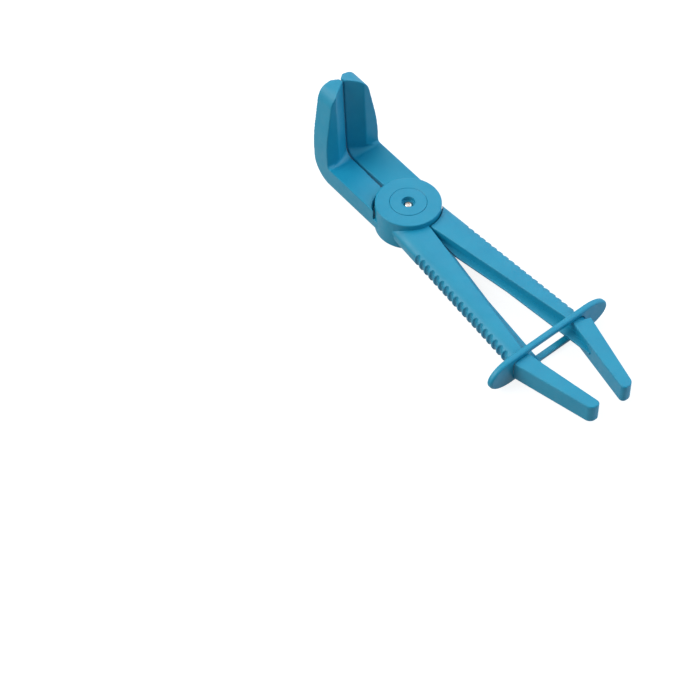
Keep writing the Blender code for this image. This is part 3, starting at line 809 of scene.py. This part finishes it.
def nylon(name):
    """Satin moulded nylon: slight mottling, fine grain, and ring marks on the hub's face."""
    material, nodes, links = new_material(name)
    shader = nodes["Principled BSDF"]
    coordinates = nodes.new("ShaderNodeTexCoord").outputs["Object"]
    mottle = noise(nodes, links, coordinates, MOTTLE_DETAIL, MOTTLE_SCALE)
    blend = map_range(nodes, links, mottle, MOTTLE_RANGE, (0.0, 1.0))
    links.new(mix_colour(nodes, links, blend, NYLON_BLUE, NYLON_LIGHT), shader.inputs["Base Color"])

    satin = noise(nodes, links, coordinates, SATIN_DETAIL, SATIN_SCALE)
    roughness = map_range(nodes, links, satin, SATIN_RANGE, NYLON_ROUGHNESS)
    links.new(roughness, shader.inputs["Roughness"])
    shader.inputs["Specular IOR Level"].default_value = NYLON_SPECULAR

    grain = noise(nodes, links, coordinates, GRAIN_DETAIL, GRAIN_SCALE)
    streaks = noise(nodes, links, coordinates, STREAK_DETAIL, stretch=STREAK_STRETCH)
    marks = ring_marks(nodes, links, coordinates)
    height = math_node(nodes, links, "MULTIPLY", grain, GRAIN_SHARE)
    for layer, share in ((streaks, STREAK_SHARE), (marks, RING_MARK_SHARE)):
        height = math_node(nodes, links, "ADD", height, math_node(nodes, links, "MULTIPLY", layer, share))
    add_bump(nodes, links, shader, height, NYLON_BUMP)
    return material


def steel(name):
    """Plated steel with fine turning marks and a little tarnish."""
    material, nodes, links = new_material(name)
    shader = nodes["Principled BSDF"]
    coordinates = nodes.new("ShaderNodeTexCoord").outputs["Object"]
    tarnish = noise(nodes, links, coordinates, TARNISH_DETAIL, TARNISH_SCALE)
    blend = map_range(nodes, links, tarnish, TARNISH_RANGE, (0.0, TARNISH_MOST))
    links.new(mix_colour(nodes, links, blend, STEEL, STEEL_DARK), shader.inputs["Base Color"])
    shader.inputs["Metallic"].default_value = 1.0
    scratches = noise(nodes, links, coordinates, SCRATCH_DETAIL, stretch=SCRATCH_STRETCH)
    roughness = map_range(nodes, links, scratches, SCRATCH_RANGE, STEEL_ROUGHNESS)
    links.new(roughness, shader.inputs["Roughness"])
    add_bump(nodes, links, shader, scratches, STEEL_BUMP)
    return material


# Stage
def seen_white(nodes, links):
    """1 for rays that should show the white background: from the camera, in gloss and through glass."""
    path = nodes.new("ShaderNodeLightPath").outputs
    seen = math_node(nodes, links, "MAXIMUM", path["Is Camera Ray"], path["Is Glossy Ray"])
    return math_node(nodes, links, "MAXIMUM", seen, path["Is Transmission Ray"])


def make_floor():
    """White paper under the tool that keeps its shadow."""
    half = FLOOR_HALF * MM
    z = -FLOOR_DROP * MM
    mesh = bpy.data.meshes.new("floor")
    corners = [(-half, -half, z), (half, -half, z), (half, half, z), (-half, half, z)]
    mesh.from_pydata(corners, [], [(0, 1, 2, 3)])
    floor = bpy.data.objects.new("floor", mesh)
    bpy.context.scene.collection.objects.link(floor)
    material, nodes, links = new_material("floor_paper")
    nodes.remove(nodes["Principled BSDF"])
    paper = nodes.new("ShaderNodeBsdfDiffuse")
    paper.inputs["Color"].default_value = (FLOOR_ALBEDO, FLOOR_ALBEDO, FLOOR_ALBEDO, 1.0)
    lift = nodes.new("ShaderNodeEmission")
    path = nodes.new("ShaderNodeLightPath").outputs
    seen = math_node(nodes, links, "MULTIPLY", path["Is Camera Ray"], FLOOR_LIFT)
    mirrored = math_node(nodes, links, "MULTIPLY", path["Is Glossy Ray"], FLOOR_GLOSS_LIFT)
    links.new(math_node(nodes, links, "ADD", seen, mirrored), lift.inputs["Strength"])
    both = nodes.new("ShaderNodeAddShader")
    links.new(paper.outputs["BSDF"], both.inputs[0])
    links.new(lift.outputs["Emission"], both.inputs[1])
    links.new(both.outputs["Shader"], nodes["Material Output"].inputs["Surface"])
    mesh.materials.append(material)


def make_world():
    """Soft light from all round, seen as white."""
    world = bpy.data.worlds.new("studio")
    world.use_nodes = True
    nodes, links = world.node_tree.nodes, world.node_tree.links
    background = nodes["Background"]
    white = seen_white(nodes, links)
    links.new(mix_colour(nodes, links, white, AMBIENT_TINT, (1.0, 1.0, 1.0)), background.inputs["Color"])
    links.new(map_range(nodes, links, white, (0.0, 1.0), (AMBIENT, 1.0)), background.inputs["Strength"])
    bpy.context.scene.world = world


def make_lamp(name, strength, angle_deg, origin, tint=(1.0, 1.0, 1.0)):
    """Soft lamp that lights the whole stage evenly from one direction."""
    lamp = bpy.data.lights.new(name, "SUN")
    lamp.color = tint
    lamp.energy = strength
    lamp.angle = math.radians(angle_deg)
    holder = bpy.data.objects.new(name, lamp)
    holder.rotation_euler = Vector(origin).to_track_quat("Z", "Y").to_euler()
    holder.location = origin
    bpy.context.scene.collection.objects.link(holder)


def make_camera():
    """Camera placed so that the hub's centre falls on its pixel of the picture at its measured scale."""
    azimuth, pitch = math.radians(CAMERA_AZIMUTH_DEG), math.radians(CAMERA_PITCH_DEG)
    right = Vector((math.cos(azimuth), math.sin(azimuth), 0.0))
    level = Vector((-math.sin(azimuth), math.cos(azimuth), 0.0))
    forward = level * math.cos(pitch) - Vector((0.0, 0.0, math.sin(pitch)))
    up = level * math.sin(pitch) + Vector((0.0, 0.0, math.cos(pitch)))
    across = (HUB_PIXEL[0] - IMAGE_SIDE / 2) / FOCAL_PIXELS
    down = (HUB_PIXEL[1] - IMAGE_SIDE / 2) / FOCAL_PIXELS
    distance = FOCAL_PIXELS / HUB_PIXELS_PER_MM
    place = Vector((0.0, 0.0, HUB_HEIGHT)) - (forward + right * across - up * down) * distance
    data = bpy.data.cameras.new("camera")
    data.sensor_width = SENSOR_WIDTH
    data.lens = FOCAL_PIXELS / IMAGE_SIDE * SENSOR_WIDTH
    camera = bpy.data.objects.new("camera", data)
    turn = Matrix((right, up, -forward)).transposed().to_4x4()
    camera.matrix_world = Matrix.Translation(place * MM) @ turn
    bpy.context.scene.collection.objects.link(camera)
    bpy.context.scene.camera = camera


def main():
    upper, lower = make_lever(1, True), make_lever(-1, False)
    dress(upper, "upper_lever_moulding", nylon("upper_lever_nylon"), "upper_half", "upper_lever")
    dress(lower, "lower_lever_moulding", nylon("lower_lever_nylon"), "lower_half", "lower_lever")
    dress(make_pivot_cap(), "pivot_cap_moulding", nylon("pivot_cap_nylon"), "lower_half", "pivot_cap")
    dress(make_pivot_boss(), "pivot_boss_moulding", nylon("pivot_boss_nylon"), "lower_half", "pivot_boss")
    dress(make_pivot_screw(), "pivot_screw_plated", steel("pivot_screw_steel"), "lower_half", "pivot_screw")
    dress(make_locking_ring(), "locking_ring_moulding", nylon("locking_ring_nylon"), "ring", "locking_ring")
    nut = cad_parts["pivot_nut"].data.materials
    nut.clear()
    nut.append(steel("pivot_nut_steel"))

    make_floor()
    make_world()
    make_lamp("key", KEY_STRENGTH, KEY_ANGLE_DEG, KEY_FROM)
    make_lamp("fill", FILL_STRENGTH, FILL_ANGLE_DEG, FILL_FROM, FILL_TINT)
    make_lamp("back", BACK_STRENGTH, BACK_ANGLE_DEG, BACK_FROM)
    make_camera()
    bpy.context.scene.view_settings.view_transform = "Standard"


main()
